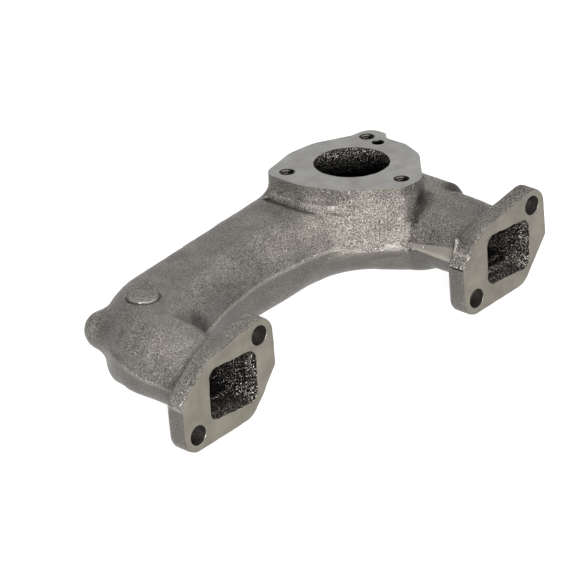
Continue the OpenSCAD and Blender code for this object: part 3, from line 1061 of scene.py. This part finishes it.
def milled_material():
    """A milled gasket face: lighter and smoother, with fine tool marks and a little mottling; the port faces
    are painted darker than the outlet face, as shade.
    """
    material, tree, surface = shader("milled_iron_face")
    place = place_mm(tree)
    grains = noise(tree, place, 1.8, 3.0, 0.6)
    blotches = noise(tree, place, 0.08, 3.0, 0.6)
    stretch = tree.nodes.new("ShaderNodeMapping")
    stretch.inputs["Rotation"].default_value = (0.3, 0.5, 0.4)
    stretch.inputs["Scale"].default_value = (0.12, 0.12, 3.0)
    tree.links.new(place, stretch.inputs["Vector"])
    lines = noise(tree, stretch.outputs["Vector"], 1.0, 2.0, 0.5)
    tone = added(tree, multiplied(tree, grains, 0.45), multiplied(tree, blotches, 0.55))
    _, _, z = axes_of(tree, place)
    # painted shade: the port faces are 0.3 darker than the outlet face, the same milled iron
    tone = added(tree, tone, between(tree, z, FACE_Z - 1, FACE_Z - 0.5, -0.3, 0.02))
    colour = colours(tree, tone, (
        (0.05, (0.105, 0.097, 0.078)), (0.35, (0.18, 0.168, 0.139)),
        (0.45, (0.235, 0.231, 0.219)), (0.65, (0.31, 0.305, 0.292))))
    tree.links.new(colour, surface.inputs["Base Color"])
    surface.inputs["Metallic"].default_value = 0.85
    tree.links.new(between(tree, grains, 0.3, 0.7, 0.34, 0.46), surface.inputs["Roughness"])
    first = bumped(tree, grains, 0.2, 0.2)
    tree.links.new(bumped(tree, lines, 0.15, 0.1, first), surface.inputs["Normal"])
    return material


def bored_material():
    """Drilled, bored and threaded iron, painted dark as shade inside the holes; the tapped holes darker
    still.
    """
    material, tree, surface = shader("bored_iron")
    place = place_mm(tree)
    grains = noise(tree, place, 1.8, 2.0, 0.6)
    _, y, _ = axes_of(tree, place)
    # the outlet's tapped holes: a darker colour, as painted shade in their depth, and a lower roughness
    tapped = between(tree, y, FLANGE_T + 2, FLANGE_T + 3, 0, 1)
    tone = added(tree, grains, between(tree, tapped, 0, 1, 0, -0.2))
    # dark colours that paint the shade inside the holes
    colour = colours(tree, tone, (
        (0.1, (0.012, 0.011, 0.010)), (0.4, (0.04, 0.037, 0.033)), (0.65, (0.12, 0.114, 0.103))))
    tree.links.new(colour, surface.inputs["Base Color"])
    surface.inputs["Metallic"].default_value = 0.95
    tree.links.new(between(tree, tapped, 0, 1, 0.42, 0.16), surface.inputs["Roughness"])
    tree.links.new(bumped(tree, grains, 0.3, 0.2), surface.inputs["Normal"])
    return material


def floor_material():
    """A white floor that is bright enough to show no grey."""
    material, _, surface = shader("pale_floor")
    surface.inputs["Base Color"].default_value = (0.15, 0.15, 0.15, 1)
    surface.inputs["Emission Color"].default_value = (1, 1, 1, 1)
    surface.inputs["Emission Strength"].default_value = 0.92
    surface.inputs["Roughness"].default_value = 0.9
    surface.inputs["Specular IOR Level"].default_value = 0.1
    return material


# -------------------- stage, light and camera

CAMERA_AXES = {
    "azimuth": -44.97, "elevation": 24.55, "roll": -2.58,
    "distance": 1989.44 * 1.025, "lens": 253.6,
    "target": (102.5, 0.0, 41.0), "shift": (39.39 * 1.025, 22.33 * 1.025),
}


def camera_frame():
    """Unit vectors of the camera: right, up and back."""
    a = math.radians(CAMERA_AXES["azimuth"])
    e = math.radians(CAMERA_AXES["elevation"])
    roll = math.radians(CAMERA_AXES["roll"])
    back = Vector((math.sin(a) * math.cos(e), -math.cos(a) * math.cos(e), math.sin(e)))
    level = Vector((math.cos(a), math.sin(a), 0))
    upright = back.cross(level)
    right = level * math.cos(roll) + upright * math.sin(roll)
    up = upright * math.cos(roll) - level * math.sin(roll)
    return right, up, back


def make_camera():
    """The camera of the main view."""
    right, up, back = camera_frame()
    data = bpy.data.cameras.new("camera")
    data.sensor_width = 36
    data.lens = CAMERA_AXES["lens"]
    data.clip_start = 0.1
    data.clip_end = 20
    data.dof.use_dof = False
    camera = bpy.data.objects.new("camera", data)
    shift = CAMERA_AXES["shift"]
    at = Vector(CAMERA_AXES["target"]) + back * CAMERA_AXES["distance"] - right * shift[0] - up * shift[1]
    camera.matrix_world = Matrix.Translation(at * MM) @ Matrix((right, up, back)).transposed().to_4x4()
    bpy.context.scene.collection.objects.link(camera)
    bpy.context.scene.camera = camera


def area_light(name, direction, distance, size, power):
    """A square softbox that looks at the middle of the casting."""
    middle = (Vector(cad_box[0]) + Vector(cad_box[1])) / 2
    data = bpy.data.lights.new(name, "AREA")
    data.shape = "SQUARE"
    data.size = size
    data.energy = power
    lamp = bpy.data.objects.new(name, data)
    direction = Vector(direction).normalized()
    lamp.location = middle + direction * distance
    lamp.rotation_mode = "QUATERNION"
    lamp.rotation_quaternion = direction.to_track_quat("Z", "Y")
    bpy.context.scene.collection.objects.link(lamp)


def make_stage():
    """The floor, the pale surroundings and two softboxes."""
    half = 6000
    corners = [(-half, -half, FLOOR_Z), (half, -half, FLOOR_Z), (half, half, FLOOR_Z), (-half, half, FLOOR_Z)]
    floor = new_object("floor", corners, [(0, 1, 2, 3)])
    floor.data.materials.append(floor_material())
    world = bpy.data.worlds.new("world")
    world.use_nodes = True
    tree = world.node_tree
    direction = tree.nodes.new("ShaderNodeTexCoord").outputs["Generated"]
    _, _, height = axes_of(tree, direction)
    background = tree.nodes["Background"]
    background.inputs["Color"].default_value = (1, 1, 1, 1)
    tree.links.new(between(tree, height, 0.45, 0.75, 0.7, 0.15), background.inputs["Strength"])
    bpy.context.scene.world = world
    right, up, back = camera_frame()
    area_light("key", back - up * 0.25 + right * 0.12, 3.0, 0.9, 350)
    area_light("overhead", (0.2, -0.15, 0.95), 2.0, 2.0, 84)
    bpy.context.scene.view_settings.view_transform = "Standard"


# -------------------- build

FIELD, PASSAGE = casting_field()
SLOPES = np.gradient(FIELD, GRID_STEP)
CURVATURE = sum(np.gradient(SLOPES[axis], GRID_STEP, axis=axis) for axis in range(3))
skin_points, skin_quads = surface_nets(FIELD)
for _ in range(2):
    skin_points -= directions(skin_points) * sample(FIELD, skin_points)[:, None]
CASTING = outwards(new_object("casting", skin_points, skin_quads))

CAST = cast_material()
MILLED = milled_material()
BORED = bored_material()
CORED = cored_material()

FAR = 300.0
BACK = 140.0
LOW = -60.0

left_flange = region("left_port_flange_plate", (-FAR, 0, LOW), (MIDDLE, FLANGE_T, FAR),
                     *((c, "DIFFERENCE") for c in stud_holes(LEFT_PORT)))
left_pipe = region("left_port_pipe_cast", (-FAR, FLANGE_T, LOW), (ELBOW_END, LEFT_PIPE_END, FAR))
elbow = region("left_elbow_cast", (-FAR, LEFT_PIPE_END, LOW), (ELBOW_END, BACK, FAR),
               (half_space_box(BOSS_CUT_POINT, BOSS_CUT_NORMAL), "DIFFERENCE"))
boss = region("core_boss_dome", (-FAR, LEFT_PIPE_END, LOW), (ELBOW_END, BACK, FAR),
              (half_space_box(BOSS_CUT_POINT, BOSS_CUT_NORMAL), "INTERSECT"))
runner_a = region("runner_left_cast", (ELBOW_END, LEFT_PIPE_END, LOW), (RUNNER_SPLIT, BACK, FAR))
runner_b = region("runner_right_cast", (RUNNER_SPLIT, LEFT_PIPE_END, LOW), (RUNNER_END, BACK, FAR),
                  (bead_cutter(), "DIFFERENCE"))
tower = region("outlet_tower_cast", (RUNNER_END, RIGHT_PIPE_END, LOW), (FAR, BACK, NECK_Z),
               (bead_cutter(), "DIFFERENCE"), *((c, "DIFFERENCE") for c in tapped_holes() + [outlet_bore()]))
plate = region("outlet_flange_plate", (RUNNER_END, RIGHT_PIPE_END, NECK_Z), (FAR, BACK, FACE_Z),
               (bead_cutter(), "DIFFERENCE"),
               *((c, "DIFFERENCE") for c in tapped_holes() + [outlet_bore(), locating_hole()]))
bead = region("outlet_bead_cast", (MIDDLE, LEFT_PIPE_END, LOW), (FAR, BACK, FACE_Z),
              (bead_cutter(), "INTERSECT"))
right_pipe = region("right_port_pipe_cast", (MIDDLE, FLANGE_T, LOW), (FAR, RIGHT_PIPE_END, FAR))
right_flange = region("right_port_flange_plate", (MIDDLE, 0, LOW), (FAR, FLANGE_T, FAR),
                      *((c, "DIFFERENCE") for c in stud_holes(RIGHT_PORT)))

for made_piece, finish, cad_node in (
    (left_flange, "machined_iron", "left_port_flange"),
    (left_pipe, "cast_iron", "left_port_pipe"),
    (elbow, "cast_iron", "left_elbow"),
    (boss, "cast_iron", "core_boss"),
    (runner_a, "cast_iron", "runner_left"),
    (runner_b, "cast_iron", "runner_right"),
    (tower, "cast_iron", "outlet_tower"),
    (plate, "machined_iron", "outlet_flange"),
    (bead, "cast_iron", "outlet_bead"),
    (right_pipe, "cast_iron", "right_port_pipe"),
    (right_flange, "machined_iron", "right_port_flange"),
):
    finish_piece(made_piece, cad_node)
date_pad()
bpy.data.objects.remove(CASTING)

make_stage()
make_camera()
